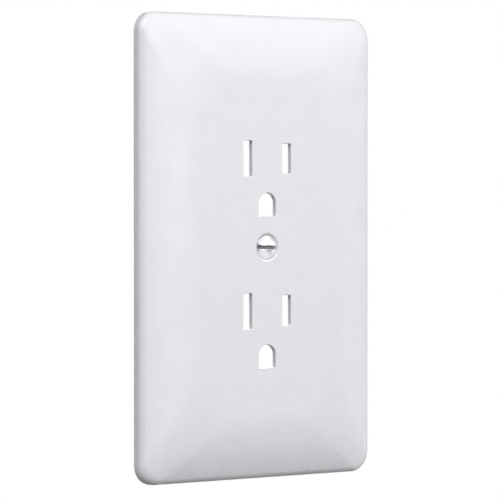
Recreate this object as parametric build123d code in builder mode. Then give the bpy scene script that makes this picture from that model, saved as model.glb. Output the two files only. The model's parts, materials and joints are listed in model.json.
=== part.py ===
from build123d import *
from math import cos, radians, sin, sqrt, tan
import os

# A one-gang cover that fits over a duplex outlet. Sizes are in millimetres. The wall is the plane
# y = 0, the cover looks along -Y and +Z is up. The origin is where the screw's axis meets the wall.
# A level is a distance in front of the wall, so a point at level 7 has y = -7.

# Plate, outside
plate_width = 74.8
plate_height = 119.0
plate_depth = 7.0  # level of the flat middle
plate_corner = 5.0  # corner radius of the outline
rim_height = 3.1  # level where the upright edge would meet the slope, before it is rounded
rim_rounding = 2.4
slope_width = 17.5  # from the outline to the flat middle
slope_corner_gain = 9.0  # how much the corner radius grows from the outline to the flat middle
slope_sections = 7

# Plate, walls and ribs
shell_wall = 2.0
outlet_wall = 1.3  # behind the flat middle, where the outlet's faces come up to it
collar_wall = 1.2
collar_end = 2.2  # level that the collars reach back to
rib_wall = 1.2
rib_end = 1.0  # level that the ribs reach back to
mark_diameter = 4.0  # ejector marks
mark_depth = 0.15
mark_side_inset = 22.4  # from the outline's sides
mark_end_inset = 21.2  # from the outline's ends

# The duplex outlet that the cover goes over
outlet_pitch = 38.9
face_width = 34.5  # each outlet face is a circle with a flat at top and bottom
face_height = 28.6
face_gap = 0.4
strap_width = 16.5
strap_gap = 1.0
strap_level = 1.2  # front of the metal strap, where the boss lands

# Openings for a plug, placed from each outlet's centre
blade_spacing = 12.7
blade_rise = 3.25
blade_slot_width = 2.8
neutral_slot_height = 9.1
hot_slot_height = 7.7
ground_width = 5.5
ground_top = -5.5
ground_bottom = -11.4
ground_arch = 2.2  # rise of the arched top
opening_rounding = 0.2

# Screw, 6-32 x 3/4 in, slotted oval head
thread_diameter = 3.5
screw_length = 19.05  # from the head's rim to the tip
neck_diameter = 2.64
head_diameter = 6.2
head_angle = 82.0
head_band = 0.12
head_dome = 0.9
head_sink = 0.45  # how far the head's rim sits below the flat middle
drive_slot_width = 1.0
drive_slot_depth = 1.4
drive_slot_turn = -3.0  # degrees from level, as the screw is left standing
tip_chamfer = 0.5
seat_clearance = 0.08

# Boss and the washer that keeps the screw on the cover
boss_wall = 0.8
screw_hole_clearance = 0.15
retainer_diameter = 7.0
retainer_thickness = 0.8
retainer_clearance = 0.08  # round the screw's neck
retainer_shoulder_gap = 0.05
retainer_inset = 0.2  # from the boss's end
retainer_slit_width = 0.4
retainer_slit_reach = 2.3  # from the screw's axis
pocket_clearance = 0.3
screw_travel = 2.0

# Worked out from the sizes above
slope_drop = plate_depth - rim_height
slope_radius = (slope_width**2 + slope_drop**2) / (2 * slope_drop)
slope_centre = plate_depth - slope_radius
outlet_centres = (outlet_pitch / 2, -outlet_pitch / 2)
pocket_radius = face_width / 2 + face_gap
pocket_height = face_height + 2 * face_gap
strap_rib_x = strap_width / 2 + strap_gap + rib_wall / 2
end_rib_length = (plate_height - outlet_pitch) / 2
head_slope = tan(radians(head_angle / 2))
head_level = plate_depth - head_sink
sink_radius = head_diameter / 2 + head_sink * head_slope + seat_clearance / cos(radians(head_angle / 2))
head_top = head_level + head_band + head_dome
dome_radius = ((head_diameter / 2) ** 2 + head_dome**2) / (2 * head_dome)
neck_level = head_level - (head_diameter - neck_diameter) / 2 / head_slope
tip_level = head_level - screw_length
screw_hole_radius = thread_diameter / 2 + screw_hole_clearance
retainer_level = strap_level + retainer_inset
thread_level = retainer_level - retainer_shoulder_gap
retainer_pocket_radius = retainer_diameter / 2 + pocket_clearance
retainer_pocket_level = retainer_level + retainer_thickness + screw_travel + retainer_shoulder_gap


def outlet_plane(centre, level):
    """Plane parallel to the wall, with its origin in front of an outlet's centre."""
    return Plane((0, -level, centre), x_dir=(1, 0, 0), z_dir=(0, -1, 0))


def draw_outline(inset, corner):
    """Draw the plate's outline, a distance in from the edge, in the open sketch."""
    RectangleRounded(plate_width - 2 * inset, plate_height - 2 * inset, corner)


def slope_inset(step, skin):
    """Distance in from the outline at one of the slope's sections, on the surface skin inside it."""
    start = slope_width - skin
    return slope_width - start * sin(radians(90.0 * (1 - step / slope_sections)))


def slope_level(inset, skin):
    """Level of the slope at a distance in from the outline, on the surface skin inside it."""
    return slope_centre + sqrt((slope_radius - skin) ** 2 - (slope_width - inset) ** 2)


def slope_corner(inset, skin):
    """Corner radius of the slope's outline at a distance in from the plate's own."""
    share = (inset - skin) / (slope_width - skin)
    return plate_corner - skin + (slope_corner_gain + skin) * share


# Hollow behind the shell, with the collars, boss and ribs left standing in it
with BuildPart() as cavity:
    with BuildSketch(Plane.XZ):
        draw_outline(shell_wall, plate_corner - shell_wall)
    extrude(amount=slope_level(shell_wall, shell_wall))
    for step in range(slope_sections + 1):
        inset = slope_inset(step, shell_wall)
        with BuildSketch(Plane.XZ.offset(slope_level(inset, shell_wall))):
            draw_outline(inset, slope_corner(inset, shell_wall))
    loft()

    # Ejector marks, sunk a little into the shell
    with BuildSketch(Plane.XZ.offset(rib_end)):
        with GridLocations(plate_width / 2 - mark_side_inset, plate_height - 2 * mark_end_inset, 3, 2):
            Circle(mark_diameter / 2)
    extrude(amount=plate_depth - shell_wall + mark_depth - rib_end)

    # Collars round the outlet's two faces, solid until the pockets are cut
    for centre in outlet_centres:
        with BuildSketch(outlet_plane(centre, collar_end)):
            Circle(pocket_radius + collar_wall)
            Rectangle(plate_width, pocket_height + 2 * collar_wall, mode=Mode.INTERSECT)
        extrude(amount=plate_depth, mode=Mode.SUBTRACT)

    # Screw boss, and a web across the middle through it
    with BuildSketch(Plane.XZ.offset(strap_level)):
        Circle(retainer_pocket_radius + boss_wall)
    extrude(amount=plate_depth, mode=Mode.SUBTRACT)
    with BuildSketch(Plane.XZ.offset(collar_end)):
        Rectangle(plate_width, rib_wall)
    extrude(amount=plate_depth, mode=Mode.SUBTRACT)

    # Ribs to the sides and, clear of the strap, to the ends. The outlet's pockets trim them.
    with BuildSketch(Plane.XZ.offset(rib_end)):
        with GridLocations(0, outlet_pitch, 1, 2):
            Rectangle(plate_width, rib_wall)
        with GridLocations(2 * strap_rib_x, outlet_pitch + end_rib_length, 2, 2):
            Rectangle(rib_wall, end_rib_length)
    extrude(amount=plate_depth, mode=Mode.SUBTRACT)

with BuildPart() as cover_plate:
    with BuildSketch(Plane.XZ):
        draw_outline(0, plate_corner)
    extrude(amount=rim_height)
    for step in range(slope_sections + 1):
        inset = slope_inset(step, 0)
        with BuildSketch(Plane.XZ.offset(slope_level(inset, 0))):
            draw_outline(inset, slope_corner(inset, 0))
    loft()
    fillet(
        cover_plate.edges().filter_by(lambda edge: abs(edge.center().Y + rim_height) < 1e-4),
        radius=rim_rounding,
    )
    add(cavity.part, mode=Mode.SUBTRACT)

    for centre in outlet_centres:
        # Pocket for the outlet's face
        with BuildSketch(outlet_plane(centre, 0)):
            Circle(pocket_radius)
            Rectangle(plate_width, pocket_height, mode=Mode.INTERSECT)
        extrude(amount=plate_depth - outlet_wall, mode=Mode.SUBTRACT)

        # Two blade slots and the arched ground hole
        with BuildSketch(outlet_plane(centre, 0)):
            with Locations((-blade_spacing / 2, blade_rise)):
                Rectangle(blade_slot_width, neutral_slot_height)
            with Locations((blade_spacing / 2, blade_rise)):
                Rectangle(blade_slot_width, hot_slot_height)
            with BuildLine():
                arch_foot = ground_top - ground_arch
                Polyline(
                    (-ground_width / 2, arch_foot),
                    (-ground_width / 2, ground_bottom),
                    (ground_width / 2, ground_bottom),
                    (ground_width / 2, arch_foot),
                )
                ThreePointArc(
                    (ground_width / 2, arch_foot), (0, ground_top), (-ground_width / 2, arch_foot)
                )
            make_face()
        extrude(amount=plate_depth, mode=Mode.SUBTRACT)

    # Edges of the openings, rounded in front
    fillet(cover_plate.faces().sort_by(Axis.Y)[0].inner_wires().edges(), radius=opening_rounding)

    # Countersunk screw hole, and the washer's pocket in the boss
    with Locations(Plane.XZ.offset(plate_depth)):
        CounterSinkHole(screw_hole_radius, sink_radius, plate_depth, head_angle)
    with BuildSketch(Plane.XZ.offset(strap_level)):
        Circle(retainer_pocket_radius)
    extrude(amount=retainer_pocket_level - strap_level, mode=Mode.SUBTRACT)

cover_plate.part.label = "cover_plate"
export_step(cover_plate.part, "parts/cover_plate.step")

with BuildPart() as cover_screw:
    with BuildSketch(Plane.XY):
        with BuildLine():
            RadiusArc((0, -head_top), (head_diameter / 2, -head_level - head_band), -dome_radius)
            Polyline(
                (head_diameter / 2, -head_level - head_band),
                (head_diameter / 2, -head_level),
                (neck_diameter / 2, -neck_level),
                (neck_diameter / 2, -thread_level),
                (thread_diameter / 2, -thread_level),
                (thread_diameter / 2, -tip_level - tip_chamfer),
                (thread_diameter / 2 - tip_chamfer, -tip_level),
                (0, -tip_level),
                (0, -head_top),
            )
        make_face()
    revolve(axis=Axis.Y)
    with BuildSketch(Plane.XZ.offset(head_top)):
        Rectangle(2 * head_diameter, drive_slot_width, rotation=drive_slot_turn)
    extrude(amount=-drive_slot_depth, mode=Mode.SUBTRACT)

cover_screw.part.label = "cover_screw"
export_step(cover_screw.part, "parts/cover_screw.step")

with BuildPart() as screw_retainer:
    with BuildSketch(Plane.XZ.offset(retainer_level)):
        Circle(retainer_diameter / 2)
        Rectangle(2 * retainer_slit_reach, retainer_slit_width, mode=Mode.SUBTRACT)
        Rectangle(retainer_slit_width, 2 * retainer_slit_reach, mode=Mode.SUBTRACT)
        Circle(neck_diameter / 2 + retainer_clearance, mode=Mode.SUBTRACT)
    extrude(amount=retainer_thickness)

screw_retainer.part.label = "screw_retainer"
export_step(screw_retainer.part, "parts/screw_retainer.step")
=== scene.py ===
"""Duplex outlet cover with its captive screw: the finished pieces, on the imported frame.

Pieces are drawn lying down, in millimetres: x to the right, y up the cover and z forwards, out of the
wall, so that z is a level in front of it. stand_up() then puts each one in the row's frame, in metres.
"""
import json
import logging
import math
from collections.abc import Callable, Iterable
from dataclasses import dataclass
from enum import Enum

import bmesh
import bpy
from bmesh.types import BMEdge, BMesh, BMFace, BMVert
from mathutils import Matrix, Vector


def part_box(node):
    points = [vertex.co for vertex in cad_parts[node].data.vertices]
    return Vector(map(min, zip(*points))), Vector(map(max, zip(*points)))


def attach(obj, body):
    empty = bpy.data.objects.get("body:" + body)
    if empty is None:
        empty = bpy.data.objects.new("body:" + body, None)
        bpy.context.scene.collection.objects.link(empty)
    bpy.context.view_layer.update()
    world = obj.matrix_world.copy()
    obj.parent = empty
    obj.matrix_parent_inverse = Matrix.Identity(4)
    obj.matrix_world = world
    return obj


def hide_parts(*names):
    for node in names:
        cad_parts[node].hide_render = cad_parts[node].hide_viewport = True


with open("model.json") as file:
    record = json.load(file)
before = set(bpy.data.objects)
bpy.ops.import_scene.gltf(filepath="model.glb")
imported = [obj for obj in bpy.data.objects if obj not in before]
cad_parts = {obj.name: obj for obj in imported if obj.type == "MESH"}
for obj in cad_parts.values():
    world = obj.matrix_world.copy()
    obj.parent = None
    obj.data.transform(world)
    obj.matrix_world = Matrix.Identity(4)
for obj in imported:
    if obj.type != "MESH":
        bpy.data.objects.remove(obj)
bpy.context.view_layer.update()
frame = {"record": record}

MM = 0.001
STAND = Matrix.Scale(MM, 4) @ Matrix.Rotation(math.radians(90), 4, "X")
SHARP_ANGLE = math.radians(32)
WELD = 1e-4  # points closer than this are one point, in millimetres
NEAR = 10 * WELD
BEYOND = 1.0  # how far a cutter reaches past what it cuts, in millimetres

log = logging.getLogger("outlet_cover")


class Finish(Enum):
    """Material slots of the record."""

    PLASTIC = "white_plastic"
    STEEL = "plated_steel"
    NYLON = "natural_nylon"


class Cut(Enum):
    """Ways to join one closed shape with another."""

    AWAY = "DIFFERENCE"
    JOIN = "UNION"


# ---------------------------------------------------------------- drawing


def record_mount(name: str) -> dict:
    """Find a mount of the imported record.

    Args:
        name: the mount's name.

    Returns:
        The mount as it stands in the record.
    """
    return next(mount for mount in frame["record"]["mounts"] if mount["name"] == name)


def mount_level(name: str) -> float:
    """Level of a mount in front of the wall, in millimetres."""
    return -record_mount(name)["pos_m"][1] / MM


def node_levels(node: str) -> tuple[float, float]:
    """Lowest and highest level of a CAD node, in millimetres."""
    low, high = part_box(node)
    return -high.y / MM, -low.y / MM


def drawn_since(mesh: BMesh, old_edges: set[BMEdge]) -> list[BMEdge]:
    """Edges that a mesh has gained since its old ones were listed, in the mesh's own order."""
    return [edge for edge in mesh.edges if edge not in old_edges]


def keep_ring(mesh: BMesh, old_edges: set[BMEdge]) -> list[BMEdge]:
    """Turn the face just drawn into a bare ring.

    Args:
        mesh: the mesh it was drawn in.
        old_edges: the edges that were there before.

    Returns:
        The edges of the ring.
    """
    ring = drawn_since(mesh, old_edges)
    faces = {face for edge in ring for face in edge.link_faces}
    bmesh.ops.delete(mesh, geom=list(faces), context="FACES_ONLY")
    return ring


def rounded_ring(
    mesh: BMesh, width: float, height: float, corner: float, level: float, steps: int
) -> list[BMEdge]:
    """Draw a rounded rectangle round the origin.

    Args:
        mesh: the mesh to draw in.
        width: its size along x.
        height: its size along y.
        corner: its corner radius.
        level: its height above the wall.
        steps: edges in each corner.

    Returns:
        The edges of the ring.
    """
    old_edges = set(mesh.edges)
    place = Matrix.Translation((0, 0, level)) @ Matrix.Diagonal((width, height, 1, 1))
    drawn = bmesh.ops.create_grid(mesh, x_segments=1, y_segments=1, size=0.5, matrix=place)
    bmesh.ops.bevel(
        mesh,
        geom=drawn["verts"],
        offset=corner,
        segments=steps,
        profile=0.5,
        affect="VERTICES",
        material=-1,
    )
    return keep_ring(mesh, old_edges)


def close_rings(mesh: BMesh, rings: list[list[BMEdge]]) -> None:
    """Join rings in turn into one closed skin, with a flat face at each end.

    Args:
        mesh: the mesh that holds the rings.
        rings: the rings, from one end to the other.
    """
    for near, far in zip(rings, rings[1:]):
        bmesh.ops.bridge_loops(mesh, edges=near + far)
    for end in (rings[0], rings[-1]):
        bmesh.ops.edgeloop_fill(mesh, edges=end)
    bmesh.ops.recalc_face_normals(mesh, faces=mesh.faces)


def lathe(outline: Iterable[tuple[float, float]], steps: int) -> BMesh:
    """Turn an outline round the z axis.

    Args:
        outline: points as (radius, level). It starts and ends on the axis, or at the same point.
        steps: faces in a full turn.

    Returns:
        A new closed mesh.
    """
    mesh = bmesh.new()
    verts = [mesh.verts.new((radius, 0, level)) for radius, level in outline]
    edges = [mesh.edges.new(pair) for pair in zip(verts, verts[1:])]
    bmesh.ops.spin(
        mesh, geom=verts + edges, cent=(0, 0, 0), axis=(0, 0, 1), angle=math.tau, steps=steps, use_merge=True
    )
    bmesh.ops.remove_doubles(mesh, verts=mesh.verts, dist=WELD)
    bmesh.ops.recalc_face_normals(mesh, faces=mesh.faces)
    return mesh


def arc_points(
    radius: float, level: float, size: float, start: float, end: float, steps: int
) -> list[tuple[float, float]]:
    """Points on an arc of a lathe's outline.

    Args:
        radius: radius of the arc's centre from the axis.
        level: level of the arc's centre.
        size: the arc's own radius.
        start: angle of its first point, in degrees, 0 being outwards and 90 forwards.
        end: angle of its last point.
        steps: edges in the arc.

    Returns:
        The arc's points as (radius, level).
    """
    angles = (math.radians(start + (end - start) * step / steps) for step in range(steps + 1))
    return [(radius + size * math.cos(angle), level + size * math.sin(angle)) for angle in angles]


def draw_block(
    mesh: BMesh,
    centre: tuple[float, float],
    size: tuple[float, float],
    low: float,
    high: float,
    turn: float = 0.0,
) -> None:
    """Draw an upright block.

    Args:
        mesh: the mesh to draw in.
        centre: its middle, as (x, y).
        size: its size, as (x, y).
        low: its lowest level.
        high: its highest level.
        turn: how far it is turned about its own middle, in degrees.
    """
    place = (
        Matrix.Translation((*centre, (low + high) / 2))
        @ Matrix.Rotation(math.radians(turn), 4, "Z")
        @ Matrix.Diagonal((*size, high - low, 1))
    )
    bmesh.ops.create_cube(mesh, size=1.0, matrix=place)


def raise_face(mesh: BMesh, face: BMFace, height: float) -> None:
    """Make a solid of a flat face by pulling a copy of it up.

    Args:
        mesh: the mesh that holds the face.
        face: the face.
        height: how far the copy is pulled.
    """
    pulled = bmesh.ops.extrude_face_region(mesh, geom=[face], use_keep_orig=True)["geom"]
    verts = [item for item in pulled if isinstance(item, BMVert)]
    bmesh.ops.translate(mesh, verts=verts, vec=(0, 0, height))


def ease_edges(mesh: BMesh, wanted: Callable[[BMEdge], bool], size: float, steps: int = 2) -> None:
    """Round the edges that a test picks.

    Args:
        mesh: the mesh to work on.
        wanted: says whether an edge is rounded.
        size: radius of the rounding.
        steps: faces across it.
    """
    chosen = [edge for edge in mesh.edges if wanted(edge)]
    bmesh.ops.bevel(
        mesh,
        geom=chosen,
        offset=size,
        segments=steps,
        profile=0.5,
        affect="EDGES",
        material=-1,
        loop_slide=False,
    )


def at_level(edge: BMEdge, level: float) -> bool:
    """Whether both ends of an edge lie at a level."""
    return all(abs(vert.co.z - level) < NEAR for vert in edge.verts)


def is_corner(edge: BMEdge) -> bool:
    """Whether an edge stands between two faces that meet at a marked angle."""
    return len(edge.link_faces) == 2 and edge.calc_face_angle() > SHARP_ANGLE


def combine(body: BMesh, tool: BMesh, how: Cut) -> BMesh:
    """Cut a closed mesh with another, or join the two.

    Args:
        body: the mesh that is worked on. It is freed.
        tool: the mesh that cuts it or joins it. It is freed.
        how: what the tool does.

    Returns:
        A new closed mesh.
    """
    made = []
    for mesh in (body, tool):
        data = bpy.data.meshes.new("work")
        mesh.to_mesh(data)
        mesh.free()
        made.append(bpy.data.objects.new("work", data))
        bpy.context.scene.collection.objects.link(made[-1])
    cutter = made[0].modifiers.new("cut", "BOOLEAN")
    cutter.operation = how.value
    cutter.solver = "EXACT"
    cutter.object = made[1]
    bpy.context.view_layer.update()
    result = bpy.data.meshes.new_from_object(made[0].evaluated_get(bpy.context.evaluated_depsgraph_get()))
    new = bmesh.new()
    new.from_mesh(result)
    bmesh.ops.remove_doubles(new, verts=new.verts, dist=WELD)
    bmesh.ops.dissolve_degenerate(new, edges=new.edges, dist=WELD)
    for obj in made:
        bpy.data.meshes.remove(obj.data)
    bpy.data.meshes.remove(result)
    return new


def stand_up(mesh: BMesh, name: str) -> bpy.types.Object:
    """Put a drawn mesh in the row's frame, in metres, and make it a piece.

    Args:
        mesh: the finished mesh. It is freed.
        name: the piece's name.

    Returns:
        The new object, at the origin, unturned and unscaled.
    """
    for edge in mesh.edges:
        edge.smooth = not is_corner(edge)
    for face in mesh.faces:
        face.smooth = True
    bmesh.ops.transform(mesh, matrix=STAND, verts=mesh.verts)
    data = bpy.data.meshes.new(name)
    mesh.to_mesh(data)
    mesh.free()
    piece = bpy.data.objects.new(name, data)
    bpy.context.scene.collection.objects.link(piece)
    weighted = piece.modifiers.new("even_shading", "WEIGHTED_NORMAL")
    weighted.mode = "FACE_AREA"
    weighted.keep_sharp = True
    return piece


def hand_over(piece: bpy.types.Object, body: str, node: str) -> None:
    """Let a piece stand for its CAD node and report it.

    Args:
        piece: the finished piece.
        body: the body it rides on.
        node: the CAD node it stands for.
    """
    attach(piece, body)
    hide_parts(node)
    log.info("%s: %d faces, stands for %s on %s", piece.name, len(piece.data.polygons), node, body)


# ---------------------------------------------------------------- materials

Colour = tuple[float, float, float]
NOISE_LOW = 0.3  # a noise texture hardly ever leaves the range between these two
NOISE_HIGH = 0.7


class Nodes:
    """A node tree that is filled in order, with plain calls."""

    def __init__(self, tree: bpy.types.NodeTree) -> None:
        """Keep the tree."""
        self.tree = tree

    def add(self, kind: str, **settings: object) -> bpy.types.Node:
        """Add a node.

        Args:
            kind: its type, without the ShaderNode in front.
            settings: its properties, by name.

        Returns:
            The new node.
        """
        node = self.tree.nodes.new("ShaderNode" + kind)
        for name, value in settings.items():
            setattr(node, name, value)
        return node

    def feed(self, node: bpy.types.Node, **inputs: object) -> bpy.types.Node:
        """Set or link a node's inputs.

        Args:
            node: the node.
            inputs: a value or an output socket for each input, by its name with _ for spaces, or by
                its number as in0, in1 and so on.

        Returns:
            The same node.
        """
        for name, value in inputs.items():
            numbered = name.startswith("in")
            socket = node.inputs[int(name[2:]) if numbered else name.replace("_", " ")]
            if isinstance(value, bpy.types.NodeSocket):
                self.tree.links.new(value, socket)
            else:
                socket.default_value = value
        return node

    def reckon(self, operation: str, first: object, second: object) -> bpy.types.NodeSocket:
        """Add a Math node and give its result."""
        return self.feed(self.add("Math", operation=operation), in0=first, in1=second).outputs[0]


def new_group(name: str, inputs: dict[str, float], outputs: tuple[str, ...]) -> bpy.types.NodeTree:
    """Start a shader node group with a place and numbers going in and numbers coming out.

    Args:
        name: the group's name.
        inputs: the default of each number that goes in.
        outputs: the numbers that come out.

    Returns:
        The group, with its two end nodes.
    """
    tree = bpy.data.node_groups.new(name, "ShaderNodeTree")
    tree.interface.new_socket("Place", in_out="INPUT", socket_type="NodeSocketVector")
    for label, value in inputs.items():
        tree.interface.new_socket(label, in_out="INPUT", socket_type="NodeSocketFloat").default_value = value
    for label in outputs:
        tree.interface.new_socket(label, in_out="OUTPUT", socket_type="NodeSocketFloat")
    tree.nodes.new("NodeGroupInput")
    tree.nodes.new("NodeGroupOutput")
    return tree


def ramp(nodes: Nodes, low: tuple[float, Colour], high: tuple[float, Colour]) -> bpy.types.Node:
    """Add a ramp from one colour to another.

    Args:
        nodes: the tree it is added to.
        low: where the first colour ends, and that colour.
        high: where the second colour starts, and that colour.

    Returns:
        The ramp's node.
    """
    node = nodes.add("ValToRGB")
    for element, (position, colour) in zip(node.color_ramp.elements, (low, high)):
        element.position = position
        element.color = (*colour, 1)
    return node


def moulded_grain() -> bpy.types.NodeTree:
    """Build the grain of a moulded skin: fine pits over a faint, slower swell.

    Returns:
        The group. Pits and Swell are sizes in millimetres, Depth shares the height between them.
    """
    tree = new_group("moulded_grain", {"Pits": 0.5, "Swell": 6.0, "Depth": 0.5}, ("Height", "Cloud"))
    nodes = Nodes(tree)
    given, result = tree.nodes["Group Input"], tree.nodes["Group Output"]
    pits = nodes.add("TexNoise", noise_dimensions="3D")
    pits_scale = nodes.reckon("DIVIDE", 1 / MM, given.outputs["Pits"])
    nodes.feed(pits, Vector=given.outputs["Place"], Scale=pits_scale, Detail=2.0, Roughness=0.45)
    swell = nodes.add("TexNoise", noise_dimensions="3D")
    swell_scale = nodes.reckon("DIVIDE", 1 / MM, given.outputs["Swell"])
    nodes.feed(swell, Vector=given.outputs["Place"], Scale=swell_scale, Detail=1.0, Roughness=0.4)
    height = nodes.feed(
        nodes.add("Mix", data_type="FLOAT"),
        Factor=given.outputs["Depth"], A=swell.outputs["Fac"], B=pits.outputs["Fac"],
    )
    nodes.feed(result, Height=height.outputs["Result"], Cloud=swell.outputs["Fac"])
    return tree


def turning_marks() -> bpy.types.NodeTree:
    """Build the rings that a lathe or a heading die leaves round the screw's axis.

    Returns:
        The group. Pitch is the distance between rings in millimetres, and Waver is how far patches
        break them up, from 0 to 1.
    """
    patches = 2.0  # to a millimetre
    tree = new_group("turning_marks", {"Pitch": 0.1, "Waver": 0.3}, ("Height",))
    nodes = Nodes(tree)
    given, result = tree.nodes["Group Input"], tree.nodes["Group Output"]
    apart = nodes.feed(nodes.add("SeparateXYZ"), Vector=given.outputs["Place"])
    across = nodes.reckon(
        "ADD",
        nodes.reckon("MULTIPLY", apart.outputs["X"], apart.outputs["X"]),
        nodes.reckon("MULTIPLY", apart.outputs["Z"], apart.outputs["Z"]),
    )
    radius = nodes.reckon("DIVIDE", nodes.reckon("POWER", across, 0.5), MM)
    rings = nodes.add("TexNoise", noise_dimensions="1D")
    count = nodes.reckon("DIVIDE", radius, given.outputs["Pitch"])
    nodes.feed(rings, W=count, Scale=1.0, Detail=3.0, Roughness=0.6)
    break_up = nodes.add("TexNoise", noise_dimensions="3D")
    nodes.feed(break_up, Vector=given.outputs["Place"], Scale=patches / MM, Detail=1.0)
    height = nodes.feed(
        nodes.add("Mix", data_type="FLOAT"),
        Factor=given.outputs["Waver"], A=rings.outputs["Fac"], B=break_up.outputs["Fac"],
    )
    nodes.feed(result, Height=height.outputs["Result"])
    return tree


@dataclass(frozen=True)
class MouldedPlastic:
    """Moulded plastic with a grained or a smooth skin.

    Lengths are in millimetres, and colours are linear. bend is the index of refraction.
    """

    name: str
    light: Colour
    dark: Colour
    roughness: tuple[float, float] = (0.4, 0.5)
    pits: float = 0.5
    swell: float = 6.0
    depth: float = 0.5
    relief: float = 0.01
    see_into: float = 0.0
    bend: float = 1.52

    def material(self, grain: bpy.types.NodeTree) -> bpy.types.Material:
        """Build the material.

        Args:
            grain: the shared grain group.

        Returns:
            The material.
        """
        material = bpy.data.materials.new(self.name)
        material.use_nodes = True
        nodes = Nodes(material.node_tree)
        shader = material.node_tree.nodes["Principled BSDF"]
        place = nodes.add("TexCoord").outputs["Object"]
        skin = nodes.add("Group", node_tree=grain)
        nodes.feed(skin, Place=place, Pits=self.pits, Swell=self.swell, Depth=self.depth)
        tint = ramp(nodes, (NOISE_LOW, self.dark), (NOISE_HIGH, self.light))
        nodes.feed(tint, Fac=skin.outputs["Cloud"])
        gloss = nodes.add("MapRange")
        nodes.feed(gloss, Value=skin.outputs["Height"], From_Min=NOISE_LOW, From_Max=NOISE_HIGH)
        nodes.feed(gloss, To_Min=self.roughness[1], To_Max=self.roughness[0])
        bump = nodes.add("Bump")
        nodes.feed(bump, Height=skin.outputs["Height"], Distance=self.relief * MM, Strength=1.0)
        nodes.feed(shader, Base_Color=tint.outputs["Color"], Roughness=gloss.outputs["Result"])
        nodes.feed(shader, Normal=bump.outputs["Normal"], IOR=self.bend)
        if self.see_into:
            nodes.feed(shader, Subsurface_Weight=self.see_into, Subsurface_Scale=MM)
        return material


@dataclass(frozen=True)
class PlatedSteel:
    """Plated steel with the marks of turning, and a film on it that is clearer in places.

    Lengths are in millimetres, and film_scale is in patches to a millimetre.
    """

    name: str
    bright: Colour
    dull: Colour
    roughness: tuple[float, float]
    pitch: float = 0.12
    relief: float = 0.004
    film_scale: float = 0.7
    film_start: float = 0.35
    film_end: float = 0.65

    def material(self, marks: bpy.types.NodeTree) -> bpy.types.Material:
        """Build the material.

        Args:
            marks: the shared group of turning marks.

        Returns:
            The material.
        """
        material = bpy.data.materials.new(self.name)
        material.use_nodes = True
        nodes = Nodes(material.node_tree)
        shader = material.node_tree.nodes["Principled BSDF"]
        place = nodes.add("TexCoord").outputs["Object"]
        rings = nodes.feed(nodes.add("Group", node_tree=marks), Place=place, Pitch=self.pitch)
        film = nodes.feed(nodes.add("TexNoise"), Vector=place, Scale=self.film_scale / MM, Detail=3.0)
        tint = ramp(nodes, (self.film_start, self.dull), (self.film_end, self.bright))
        nodes.feed(tint, Fac=film.outputs["Fac"])
        gloss = nodes.add("MapRange")
        nodes.feed(gloss, Value=rings.outputs["Height"], From_Min=NOISE_LOW, From_Max=NOISE_HIGH)
        nodes.feed(gloss, To_Min=self.roughness[0], To_Max=self.roughness[1])
        bump = nodes.add("Bump")
        nodes.feed(bump, Height=rings.outputs["Height"], Distance=self.relief * MM, Strength=1.0)
        nodes.feed(shader, Base_Color=tint.outputs["Color"], Roughness=gloss.outputs["Result"])
        nodes.feed(shader, Metallic=1.0, Normal=bump.outputs["Normal"])
        return material


# ---------------------------------------------------------------- the cover


@dataclass(frozen=True)
class Skin:
    """The cover's outside, or a surface a set distance inside it. All lengths are in millimetres.

    An upright edge, a rounding and an arc lead from the outline to the flat middle.
    """

    width: float
    height: float
    depth: float
    corner: float = 5.0
    rim_height: float = 3.1
    slope_width: float = 17.5
    corner_gain: float = 9.0
    inside: float = 0.0
    rounding: float = 2.4
    slope_steps: int = 16
    rounding_steps: int = 7
    corner_steps: int = 20

    @property
    def arc_radius(self) -> float:
        """Radius of the slope's arc on this surface."""
        drop = self.depth - self.rim_height
        return (self.slope_width**2 + drop**2) / (2 * drop) - self.inside

    @property
    def arc_level(self) -> float:
        """Level of the arc's centre, behind the wall."""
        return self.depth - self.inside - self.arc_radius

    @property
    def rounding_level(self) -> float:
        """Level of the centre of the rounding, which touches the upright edge and the arc."""
        across = self.slope_width - self.inside - self.rounding
        return self.arc_level + math.sqrt((self.arc_radius - self.rounding) ** 2 - across**2)

    def profile(self, foot: list[tuple[float, float]]) -> list[tuple[float, float]]:
        """Cross-section from the foot to the flat middle.

        Args:
            foot: its first points, up to the upright edge.

        Returns:
            Points as (distance in from the outline, level).
        """
        centre_inset = self.inside + self.rounding
        tilt = math.asin((self.slope_width - centre_inset) / (self.arc_radius - self.rounding))
        points = list(foot)
        for step in range(self.rounding_steps + 1):
            angle = (math.pi / 2 - tilt) * step / self.rounding_steps
            inset = centre_inset - self.rounding * math.cos(angle)
            points.append((inset, self.rounding_level + self.rounding * math.sin(angle)))
        for step in range(1, self.slope_steps + 1):
            angle = tilt * (1 - step / self.slope_steps)
            inset = self.slope_width - self.arc_radius * math.sin(angle)
            points.append((inset, self.arc_level + self.arc_radius * math.cos(angle)))
        return points

    def corner_at(self, inset: float) -> float:
        """Corner radius of the outline at a distance in from the cover's own."""
        share = max(0.0, (inset - self.inside) / (self.slope_width - self.inside))
        return self.corner - self.inside + (self.corner_gain + self.inside) * share

    def solid(self, foot: list[tuple[float, float]]) -> BMesh:
        """Closed mesh of everything under this surface.

        Args:
            foot: the cross-section's first points.

        Returns:
            The mesh.
        """
        mesh = bmesh.new()
        rings = [
            rounded_ring(
                mesh,
                self.width - 2 * inset,
                self.height - 2 * inset,
                self.corner_at(inset),
                level,
                self.corner_steps,
            )
            for inset, level in self.profile(foot)
        ]
        close_rings(mesh, rings)
        return mesh


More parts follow.
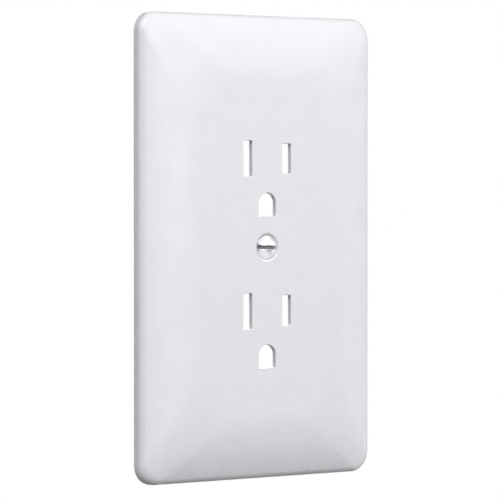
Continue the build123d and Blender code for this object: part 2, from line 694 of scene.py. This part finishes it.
@dataclass
class CoverPlate:
    """The one-piece moulding: shell, outlet collars, screw boss, ribs and openings. Millimetres."""

    sink_radius: float
    name: str = "moulded_cover"
    wall: float = 2.0
    foot_break: float = 0.15
    inner_rounding: float = 0.8
    inner_rounding_steps: int = 4
    collar_wall: float = 1.2
    collar_end: float = 2.2
    face_width: float = 34.5
    face_height: float = 28.6
    face_gap: float = 0.4
    rib_wall: float = 1.2
    rib_end: float = 1.0
    rib_break: float = 0.2
    strap_rib_x: float = 9.85
    boss_wall: float = 0.8
    washer_radius: float = 3.8
    washer_level: float = 4.25
    hole_radius: float = 1.9
    sink_angle: float = 82.0
    mark_radius: float = 2.0
    mark_depth: float = 0.15
    mark_pitch: float = 15.0
    mark_end_inset: float = 21.2
    blade_spacing: float = 12.7
    blade_rise: float = 3.25
    slot_width: float = 2.8
    neutral_height: float = 9.1
    hot_height: float = 7.7
    ground_width: float = 5.5
    ground_top: float = -5.5
    ground_bottom: float = -11.4
    ground_arch: float = 2.2
    opening_corner: float = 0.25
    opening_corner_steps: int = 4
    opening_break: float = 0.2
    opening_break_steps: int = 4
    sink_over: float = 0.5
    front_tilt: float = 0.05  # a face that leans forwards by more than this is on the outside
    turned_steps: int = 96
    face_steps: int = 128
    mark_steps: int = 48
    arch_steps: int = 20
    ease_steps: int = 3

    def __post_init__(self) -> None:
        """Take the overall sizes from the frame."""
        low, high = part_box("cover_plate")
        self.width = (high.x - low.x) / MM
        self.height = (high.z - low.z) / MM
        self.depth = -low.y / MM
        self.face_level = mount_level("outlet_face_upper")
        self.boss_end = mount_level("strap_rest")
        outlets = (record_mount("plug_opening_upper"), record_mount("plug_opening_lower"))
        self.outlet_ys = [mount["pos_m"][2] / MM for mount in outlets]
        self.pocket_radius = self.face_width / 2 + self.face_gap
        self.pocket_height = self.face_height + 2 * self.face_gap

    def outside(self) -> BMesh:
        """Solid of the cover's outside."""
        ease, third = self.foot_break, self.foot_break / 3
        return Skin(self.width, self.height, self.depth).solid([(ease, 0.0), (third, third), (0.0, ease)])

    def flat_sided_discs(self, radius: float, height: float, low: float, high: float) -> BMesh:
        """Draw the outlet's two faces, each a circle with a flat above and below.

        Args:
            radius: the circle's radius.
            height: distance between the flats.
            low: lowest level.
            high: highest level.

        Returns:
            A closed mesh of the two solids.
        """
        mesh = bmesh.new()
        for centre in self.outlet_ys:
            disc = bmesh.new()
            place = Matrix.Translation((0, 0, low))
            bmesh.ops.create_circle(
                disc, cap_ends=True, segments=self.face_steps, radius=radius, matrix=place
            )
            for side in (-1, 1):
                bmesh.ops.bisect_plane(
                    disc,
                    geom=[*disc.verts, *disc.edges, *disc.faces],
                    plane_co=(0, side * height / 2, low),
                    plane_no=(0, side, 0),
                    clear_outer=True,
                )
            raise_face(disc, disc.faces[:][0], high - low)
            bmesh.ops.translate(disc, verts=disc.verts, vec=(0, centre, 0))
            data = bpy.data.meshes.new("work")
            disc.to_mesh(data)
            disc.free()
            mesh.from_mesh(data)
            bpy.data.meshes.remove(data)
        bmesh.ops.recalc_face_normals(mesh, faces=mesh.faces)
        return mesh

    def collars(self) -> BMesh:
        """Solids that the walls round the outlet's faces are cut from.

        Returns:
            A closed mesh of the two solids.
        """
        mesh = self.flat_sided_discs(
            self.pocket_radius + self.collar_wall,
            self.pocket_height + 2 * self.collar_wall,
            self.collar_end,
            self.depth,
        )
        ease_edges(mesh, lambda edge: at_level(edge, self.collar_end), self.rib_break)
        return mesh

    def side_ribs(self) -> BMesh:
        """Ribs from side to side, behind the middle of each outlet.

        Returns:
            A closed mesh of the two ribs.
        """
        mesh = bmesh.new()
        for centre in self.outlet_ys:
            draw_block(mesh, (0, centre), (self.width, self.rib_wall), self.rib_end, self.depth)
        ease_edges(mesh, lambda edge: at_level(edge, self.rib_end), self.rib_break)
        return mesh

    def end_ribs(self) -> BMesh:
        """Ribs from the outlets to the cover's ends, clear of the outlet's strap.

        Returns:
            A closed mesh of the four ribs.
        """
        mesh = bmesh.new()
        for centre in self.outlet_ys:
            end = math.copysign(self.height / 2, centre)
            size = (self.rib_wall, abs(end - centre))
            for x in (-self.strap_rib_x, self.strap_rib_x):
                draw_block(mesh, (x, (centre + end) / 2), size, self.rib_end, self.depth)
        ease_edges(mesh, lambda edge: at_level(edge, self.rib_end), self.rib_break)
        return mesh

    def middle_web(self) -> BMesh:
        """The web from side to side through the screw boss.

        Returns:
            A closed mesh of the web.
        """
        mesh = bmesh.new()
        draw_block(mesh, (0, 0), (self.width, self.rib_wall), self.collar_end, self.depth)
        ease_edges(mesh, lambda edge: at_level(edge, self.collar_end), self.rib_break)
        return mesh

    def boss(self) -> BMesh:
        """The solid round boss that lands on the outlet's strap.

        Returns:
            A closed mesh of the boss.
        """
        radius = self.washer_radius + self.boss_wall
        ease = self.rib_break
        foot = arc_points(radius - ease, self.boss_end + ease, ease, -90, 0, self.ease_steps)
        outline = [(0, self.boss_end), *foot, (radius, self.depth), (0, self.depth)]
        return lathe(outline, self.turned_steps)

    def marks(self) -> BMesh:
        """Ejector marks, sunk a little into the back of the flat middle.

        Returns:
            A closed mesh of the six marks.
        """
        mesh = bmesh.new()
        top = self.depth - self.wall + self.mark_depth
        for x in (-self.mark_pitch, 0, self.mark_pitch):
            for y in (self.mark_end_inset - self.height / 2, self.height / 2 - self.mark_end_inset):
                place = Matrix.Translation((x, y, top - BEYOND))
                bmesh.ops.create_cone(
                    mesh,
                    cap_ends=True,
                    segments=self.mark_steps,
                    radius1=self.mark_radius,
                    radius2=self.mark_radius,
                    depth=2 * BEYOND,
                    matrix=place,
                )
        return mesh

    def hollow(self) -> BMesh:
        """The space behind the shell, with collars, boss and ribs left standing in it.

        Returns:
            A closed mesh of the space.
        """
        inner = Skin(
            self.width,
            self.height,
            self.depth,
            inside=self.wall,
            rounding=self.inner_rounding,
            rounding_steps=self.inner_rounding_steps,
        )
        space = inner.solid([(self.wall, -BEYOND)])
        space = combine(space, self.marks(), Cut.JOIN)
        for solid in (self.collars(), self.side_ribs(), self.end_ribs(), self.middle_web(), self.boss()):
            space = combine(space, solid, Cut.AWAY)
        return space

    def arched_hole(self, mesh: BMesh, centre: float) -> None:
        """Draw the cutter of one ground hole.

        Args:
            mesh: the mesh to draw in.
            centre: the outlet's height on the cover.
        """
        half = self.ground_width / 2
        radius = (half**2 + self.ground_arch**2) / (2 * self.ground_arch)
        middle = centre + self.ground_top - radius
        foot = math.asin(half / radius)
        old_edges = set(mesh.edges)
        start = mesh.verts.new((half, middle + radius * math.cos(foot), -BEYOND))
        arc = bmesh.ops.spin(
            mesh,
            geom=[start],
            cent=(0, middle, -BEYOND),
            axis=(0, 0, 1),
            angle=2 * foot,
            steps=self.arch_steps,
        )
        last = next(item for item in arc["geom_last"] if isinstance(item, BMVert))
        corners = []
        for vert in (start, last):
            low = bmesh.ops.extrude_vert_indiv(mesh, verts=[vert])["verts"][0]
            low.co.y = centre + self.ground_bottom
            corners.append(low)
        bmesh.ops.contextual_create(mesh, geom=corners)
        ring = drawn_since(mesh, old_edges)[::-1]  # the straight foot, drawn last, leads the face
        face = bmesh.ops.edgeloop_fill(mesh, edges=ring)["faces"][0]
        raise_face(mesh, face, self.depth + 2 * BEYOND)

    def openings(self) -> BMesh:
        """Cutters of the blade slots and ground holes.

        Returns:
            A closed mesh of the six cutters.
        """
        mesh = bmesh.new()
        for centre in self.outlet_ys:
            for side, height in ((-1, self.neutral_height), (1, self.hot_height)):
                old_edges = set(mesh.edges)
                draw_block(
                    mesh,
                    (side * self.blade_spacing / 2, centre + self.blade_rise),
                    (self.slot_width, height),
                    -BEYOND,
                    self.depth + BEYOND,
                )
                upright = [
                    edge
                    for edge in drawn_since(mesh, old_edges)
                    if abs(edge.verts[0].co.z - edge.verts[1].co.z) > BEYOND
                ]
                bmesh.ops.bevel(
                    mesh,
                    geom=upright,
                    offset=self.opening_corner,
                    segments=self.opening_corner_steps,
                    profile=0.5,
                    affect="EDGES",
                    material=-1,
                )
            self.arched_hole(mesh, centre)
        bmesh.ops.recalc_face_normals(mesh, faces=mesh.faces)
        return mesh

    def screw_passage(self) -> BMesh:
        """Cutter of the countersink, the screw hole and the washer's pocket.

        Returns:
            A closed mesh of the cutter.
        """
        rise = 1 / math.tan(math.radians(self.sink_angle / 2))
        top = self.depth + self.sink_over * rise
        outline = [
            (0, -BEYOND),
            (self.washer_radius, -BEYOND),
            (self.washer_radius, self.washer_level),
            (self.hole_radius, self.washer_level),
            (self.hole_radius, self.depth - (self.sink_radius - self.hole_radius) * rise),
            (self.sink_radius + self.sink_over, top),
            (0, top),
        ]
        return lathe(outline, self.turned_steps)

    def build(self) -> bpy.types.Object:
        """Cut the moulding out and stand it up.

        Returns:
            The finished piece, without materials.
        """
        mesh = combine(self.outside(), self.hollow(), Cut.AWAY)
        pockets = self.flat_sided_discs(self.pocket_radius, self.pocket_height, -BEYOND, self.face_level)
        for cutter in (pockets, self.openings(), self.screw_passage()):
            mesh = combine(mesh, cutter, Cut.AWAY)
        ease_edges(
            mesh,
            lambda edge: at_level(edge, self.depth) and is_corner(edge),
            self.opening_break,
            self.opening_break_steps,
        )
        bmesh.ops.recalc_face_normals(mesh, faces=mesh.faces)
        return stand_up(mesh, self.name)

    def dress(self, piece: bpy.types.Object, front: bpy.types.Material, back: bpy.types.Material) -> None:
        """Give the outside its grain and everything behind it a smooth moulded skin.

        Args:
            piece: the moulding.
            front: material of the outside.
            back: material of the inside.
        """
        piece.data.materials.append(front)
        piece.data.materials.append(back)
        corner = Skin.corner
        straight_x, straight_y = self.width / 2 - corner, self.height / 2 - corner
        for face in piece.data.polygons:
            place = face.center / MM
            past = Vector((max(0.0, abs(place.x) - straight_x), max(0.0, abs(place.z) - straight_y)))
            outer_edge = past.length > corner - self.wall / 2
            face.material_index = 0 if face.normal.y < -self.front_tilt or outer_edge else 1


# ---------------------------------------------------------------- the screw


@dataclass
class CoverScrew:
    """Slotted oval-head machine screw with a relieved neck and a real helical thread. Millimetres."""

    name: str = "slotted_screw"
    neck_radius: float = 1.32
    head_angle: float = 82.0
    head_band: float = 0.12
    head_dome: float = 0.9
    head_rounding: float = 0.2
    head_sink: float = 0.45
    seat_clearance: float = 0.08
    slot_width: float = 1.0
    slot_depth: float = 1.4
    slot_turn: float = -3.0
    slot_break: float = 0.04
    dome_steps: int = 16
    rounding_steps: int = 4
    thread_level: float = 1.35
    thread_lead: float = 0.12
    thread_root_gap: float = 0.01
    thread_mouth_gap: float = 0.05
    tip_chamfer: float = 0.5
    pitch: float = 25.4 / 32
    flank_angle: float = 30.0
    steps: int = 96
    thread_steps: int = 60

    def __post_init__(self) -> None:
        """Take the overall sizes from the frame."""
        low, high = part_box("cover_screw")
        self.tip_level = -high.y / MM
        self.head_radius = high.z / MM
        self.major_radius = record_mount("screw_thread")["dims"]["r_mm"]
        self.rim_level = mount_level("plug_opening_upper") - self.head_sink
        self.dome_level = self.rim_level + self.head_band
        self.slot_floor = self.dome_level + self.head_dome - self.slot_depth
        self.dome_radius = (self.head_radius**2 + self.head_dome**2) / (2 * self.head_dome)
        cone = math.radians(self.head_angle / 2)
        seat = self.head_radius + self.head_sink * math.tan(cone)
        self.sink_radius = seat + self.seat_clearance / math.cos(cone)

    def blank(self) -> BMesh:
        """Turned blank: domed head, cone, neck and shank.

        Returns:
            A closed mesh of the blank, without slot or thread.
        """
        centre = self.dome_level + self.head_dome - self.dome_radius
        rounding = self.head_rounding
        side, reach = self.head_radius - rounding, self.dome_radius - rounding
        meet = math.degrees(math.acos(side / reach))
        dome = arc_points(0, centre, self.dome_radius, 90, meet, self.dome_steps)
        edge_level = centre + math.sqrt(reach**2 - side**2)
        round_edge = arc_points(side, edge_level, rounding, meet, 0, self.rounding_steps)
        cone = (self.head_radius - self.neck_radius) / math.tan(math.radians(self.head_angle / 2))
        chamfer = self.tip_chamfer
        outline = [
            (0.0, dome[0][1]),
            *dome[1:],
            *round_edge[1:],
            (self.head_radius, self.rim_level),
            (self.neck_radius, self.rim_level - cone),
            (self.neck_radius, self.thread_level),
            (self.major_radius - self.thread_lead, self.thread_level),
            (self.major_radius, self.thread_level - self.thread_lead),
            (self.major_radius, self.tip_level + chamfer),
            (self.major_radius - chamfer, self.tip_level),
            (0.0, self.tip_level),
        ]
        return lathe(outline, self.steps)

    def groove(self) -> BMesh:
        """Cutter of the thread, one long helical groove with 60 degree flanks.

        Returns:
            A closed mesh of the cutter.
        """
        mesh = bmesh.new()
        root = self.neck_radius + self.thread_root_gap
        mouth = self.major_radius + self.thread_mouth_gap
        crest = self.pitch / 8
        slant = math.tan(math.radians(self.flank_angle))
        half_root = (self.pitch - crest) / 2 - (self.major_radius - root) * slant
        half_mouth = half_root + (mouth - root) * slant
        low = self.tip_level - 1.5 * self.pitch
        turns = math.ceil((self.thread_level - low) / self.pitch) + 1
        outline = ((root, -half_root), (mouth, -half_mouth), (mouth, half_mouth), (root, half_root))
        verts = [mesh.verts.new((radius, 0, low + level)) for radius, level in outline]
        start = mesh.faces.new(verts)
        edges = list(start.edges)
        swept = bmesh.ops.spin(
            mesh,
            geom=edges + verts,
            cent=(0, 0, 0),
            axis=(0, 0, 1),
            dvec=(0, 0, self.pitch / self.thread_steps),
            angle=math.tau * turns,
            steps=self.thread_steps * turns,
        )
        last = [item for item in swept["geom_last"] if isinstance(item, BMEdge)]
        bmesh.ops.edgeloop_fill(mesh, edges=last)
        bmesh.ops.recalc_face_normals(mesh, faces=mesh.faces)
        return mesh

    def drive_slot(self) -> BMesh:
        """Cutter of the slot across the head.

        Returns:
            A closed mesh of the cutter.
        """
        mesh = bmesh.new()
        size = (4 * self.head_radius, self.slot_width)
        top = self.slot_floor + self.slot_depth + BEYOND
        draw_block(mesh, (0, 0), size, self.slot_floor, top, self.slot_turn)
        return mesh

    def aside(self, x: float, y: float) -> float:
        """Distance of a drawn point from the slot's middle plane."""
        turn = math.radians(self.slot_turn)
        return abs(y * math.cos(turn) - x * math.sin(turn))

    def on_slot_brink(self, edge: BMEdge) -> bool:
        """Whether an edge runs along the top of one of the slot's walls."""
        half = self.slot_width / 2
        return all(
            abs(self.aside(vert.co.x, vert.co.y) - half) < NEAR and vert.co.z > self.rim_level
            for vert in edge.verts
        )

    def build(self) -> bpy.types.Object:
        """Turn, slot and thread the screw.

        Returns:
            The finished piece, without materials.
        """
        mesh = combine(self.blank(), self.drive_slot(), Cut.AWAY)
        mesh = combine(mesh, self.groove(), Cut.AWAY)
        ease_edges(mesh, lambda edge: is_corner(edge) and self.on_slot_brink(edge), self.slot_break)
        bmesh.ops.recalc_face_normals(mesh, faces=mesh.faces)
        return stand_up(mesh, self.name)

    def dress(self, piece: bpy.types.Object, bright: bpy.types.Material, dull: bpy.types.Material) -> None:
        """Give the screw bright steel, and the slot's floor and walls a duller, darker steel: the duller
        gloss is the slot's thinner plating, the darkness is painted shade in the slot.

        Args:
            piece: the screw.
            bright: material of the screw.
            dull: material of the slot's floor and walls, darkened with painted shade.
        """
        piece.data.materials.append(bright)
        piece.data.materials.append(dull)
        for face in piece.data.polygons:
            place = face.center / MM
            between_walls = self.aside(place.x, place.z) < self.slot_width / 2 + WELD
            # Faces between the slot's walls and below its top get the darker steel: painted shade in the
            # slot, over its thinner plating.
            face.material_index = 1 if between_walls and -place.y > self.slot_floor - WELD else 0


@dataclass
class RetainerWasher:
    """Slit washer that holds the screw on the cover by its neck. Millimetres."""

    name: str = "slit_washer"
    neck_radius: float = 1.32
    clearance: float = 0.08
    slit_width: float = 0.4
    slit_reach: float = 2.3
    edge_break: float = 0.1
    edge_steps: int = 3
    steps: int = 96

    def __post_init__(self) -> None:
        """Take the overall sizes from the frame."""
        self.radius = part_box("screw_retainer")[1].x / MM
        self.low, self.high = node_levels("screw_retainer")

    def build(self) -> bpy.types.Object:
        """Turn the washer and slit it from its bore.

        Returns:
            The finished piece, without materials.
        """
        bore, ease = self.neck_radius + self.clearance, self.edge_break
        outer, inner = self.radius - ease, bore + ease
        bottom, top = self.low + ease, self.high - ease
        outline = [
            *arc_points(outer, bottom, ease, -90, 0, self.edge_steps),
            *arc_points(outer, top, ease, 0, 90, self.edge_steps),
            *arc_points(inner, top, ease, 90, 180, self.edge_steps),
            *arc_points(inner, bottom, ease, 180, 270, self.edge_steps),
        ]
        ring = lathe([*outline, outline[0]], self.steps)
        slits = bmesh.new()
        start = bore / 2
        size = (self.slit_reach - start, self.slit_width)
        for turn in (0, 90, 180, 270):
            angle = math.radians(turn)
            middle = Vector((math.cos(angle), math.sin(angle))) * (start + self.slit_reach) / 2
            draw_block(slits, tuple(middle), size, self.low - BEYOND, self.high + BEYOND, turn)
        mesh = combine(ring, slits, Cut.AWAY)
        bmesh.ops.recalc_face_normals(mesh, faces=mesh.faces)
        return stand_up(mesh, self.name)

    def dress(self, piece: bpy.types.Object, nylon: bpy.types.Material) -> None:
        """Give the washer its nylon."""
        piece.data.materials.append(nylon)


# ---------------------------------------------------------------- the studio


@dataclass(frozen=True)
class SoftBox:
    """A square soft light that looks at the cover. Angles are in degrees, lengths in metres."""

    name: str
    azimuth: float
    elevation: float
    distance: float
    size: float
    power: float

    def build(self) -> None:
        """Hang the light."""
        data = bpy.data.lights.new(self.name, "AREA")
        data.shape = "SQUARE"
        data.size = self.size
        data.energy = self.power
        light = bpy.data.objects.new(self.name, data)
        aim(light, self.azimuth, self.elevation, self.distance, Vector((0, 0, 0)))
        light.visible_camera = False
        bpy.context.scene.collection.objects.link(light)


def aim(obj: bpy.types.Object, azimuth: float, elevation: float, distance: float, target: Vector) -> None:
    """Set a light or camera round a point, looking at it.

    Args:
        obj: the light or camera.
        azimuth: 0 in front of the cover and positive towards its right, in degrees.
        elevation: above the level, in degrees.
        distance: from the point, in metres.
        target: the point.
    """
    round_z, up = math.radians(azimuth), math.radians(elevation)
    away = Vector((math.sin(round_z) * math.cos(up), -math.cos(round_z) * math.cos(up), math.sin(up)))
    obj.location = target + away * distance
    obj.rotation_euler = (-away).to_track_quat("-Z", "Y").to_euler()


@dataclass
class Studio:
    """Plain pale floor, white surroundings, soft lights and the camera. Metres and degrees."""

    floor_level: float = -0.3
    floor_radius: float = 0.9
    floor_steps: int = 96
    floor_colour: Colour = (0.9, 0.9, 0.9)
    floor_roughness: float = 0.9
    backdrop: Colour = (1.0, 1.0, 1.0)
    ambient: Colour = (0.025, 0.025, 0.025)
    camera_azimuth: float = -38.34
    camera_elevation: float = 1.135
    camera_distance: float = 0.8547
    camera_target: tuple[float, float, float] = (-0.00019, 0.0, -0.00078)
    camera_lens: float = 239.0  # millimetres, as is the sensor
    camera_sensor: float = 36.0
    camera_reach: float = 20.0
    lights: tuple[SoftBox, ...] = (
        SoftBox("high_left", -46.0, 44.0, 1.2, 0.7, 8.6),
        SoftBox("high_right", 42.0, 32.0, 1.2, 1.2, 6.6),
        SoftBox("low_front", 8.0, 8.0, 1.2, 0.5, 5.8),
        SoftBox("low_right", 75.0, 0.0, 1.2, 0.7, 2.2),
        SoftBox("side_left", -95.0, 10.0, 1.2, 0.6, 3.7),
        SoftBox("back_right", 150.0, 5.0, 1.2, 0.6, 14.0),
    )

    def floor(self) -> None:
        """Lay the floor, which shows to the camera and in gloss but lights no matt surface."""
        mesh = bmesh.new()
        place = Matrix.Translation((0, 0, self.floor_level))
        bmesh.ops.create_circle(
            mesh, cap_ends=True, segments=self.floor_steps, radius=self.floor_radius, matrix=place
        )
        data = bpy.data.meshes.new("floor")
        mesh.to_mesh(data)
        mesh.free()
        floor = bpy.data.objects.new("floor", data)
        bpy.context.scene.collection.objects.link(floor)
        material = bpy.data.materials.new("pale_floor")
        material.use_nodes = True
        shader = material.node_tree.nodes["Principled BSDF"]
        shader.inputs["Base Color"].default_value = (*self.floor_colour, 1)
        shader.inputs["Roughness"].default_value = self.floor_roughness
        data.materials.append(material)
        floor.visible_diffuse = False

    def surroundings(self) -> None:
        """Make the world white to the camera and a dimmer light to everything else."""
        world = bpy.data.worlds.new("surroundings")
        world.use_nodes = True
        bpy.context.scene.world = world
        nodes = Nodes(world.node_tree)
        seen = world.node_tree.nodes["Background"]
        nodes.feed(seen, Color=(*self.backdrop, 1), Strength=1.0)
        lit = nodes.feed(nodes.add("Background"), Color=(*self.ambient, 1), Strength=1.0)
        path = nodes.add("LightPath")
        mix = nodes.feed(nodes.add("MixShader"), Fac=path.outputs["Is Camera Ray"])
        nodes.feed(mix, in1=lit.outputs[0], in2=seen.outputs[0])
        nodes.feed(world.node_tree.nodes["World Output"], Surface=mix.outputs[0])

    def camera(self) -> None:
        """Set up the camera."""
        data = bpy.data.cameras.new("camera")
        data.lens = self.camera_lens
        data.sensor_width = self.camera_sensor
        data.clip_end = self.camera_reach
        camera = bpy.data.objects.new("camera", data)
        target = Vector(self.camera_target)
        aim(camera, self.camera_azimuth, self.camera_elevation, self.camera_distance, target)
        bpy.context.scene.collection.objects.link(camera)
        bpy.context.scene.camera = camera

    def build(self) -> None:
        """Set up the whole studio."""
        self.floor()
        self.surroundings()
        for light in self.lights:
            light.build()
        self.camera()
        bpy.context.scene.view_settings.view_transform = "Standard"


GRAINED_WHITE = MouldedPlastic(
    "grained_white", (0.81, 0.82, 0.848), (0.79, 0.80, 0.828), roughness=(0.36, 0.5), pits=0.55, relief=0.1
)
SMOOTH_WHITE = MouldedPlastic(
    "smooth_white", (0.81, 0.82, 0.83), (0.79, 0.80, 0.81), roughness=(0.3, 0.36), pits=1.5, relief=0.004
)
CLEAR_NYLON = MouldedPlastic(
    "natural_nylon", (0.8, 0.77, 0.68), (0.76, 0.73, 0.63), roughness=(0.3, 0.4), relief=0.004, see_into=0.4
)
BRIGHT_STEEL = PlatedSteel("plated_steel", (0.86, 0.87, 0.88), (0.74, 0.75, 0.77), roughness=(0.28, 0.42))
# Steel of the slot: duller for the thinner plating there, and its near-black colour is painted shade in the
# slot.
SLOT_SHADE_STEEL = PlatedSteel("slot_shade_steel", (0.25, 0.26, 0.28), (0.19, 0.2, 0.22), roughness=(0.4, 0.55))


def main() -> None:
    """Build and dress the three pieces and set up the studio."""
    logging.basicConfig(level=logging.INFO, format="%(name)s %(message)s")
    grain, marks = moulded_grain(), turning_marks()

    screw = CoverScrew()
    cover = CoverPlate(screw.sink_radius)
    moulding = cover.build()
    cover.dress(moulding, GRAINED_WHITE.material(grain), SMOOTH_WHITE.material(grain))
    hand_over(moulding, "cover", "cover_plate")

    fastener = screw.build()
    screw.dress(fastener, BRIGHT_STEEL.material(marks), SLOT_SHADE_STEEL.material(marks))
    hand_over(fastener, "screw", "cover_screw")

    washer = RetainerWasher()
    retainer = washer.build()
    washer.dress(retainer, CLEAR_NYLON.material(grain))
    hand_over(retainer, "retainer", "screw_retainer")

    Studio().build()


if __name__ == "__main__":
    main()
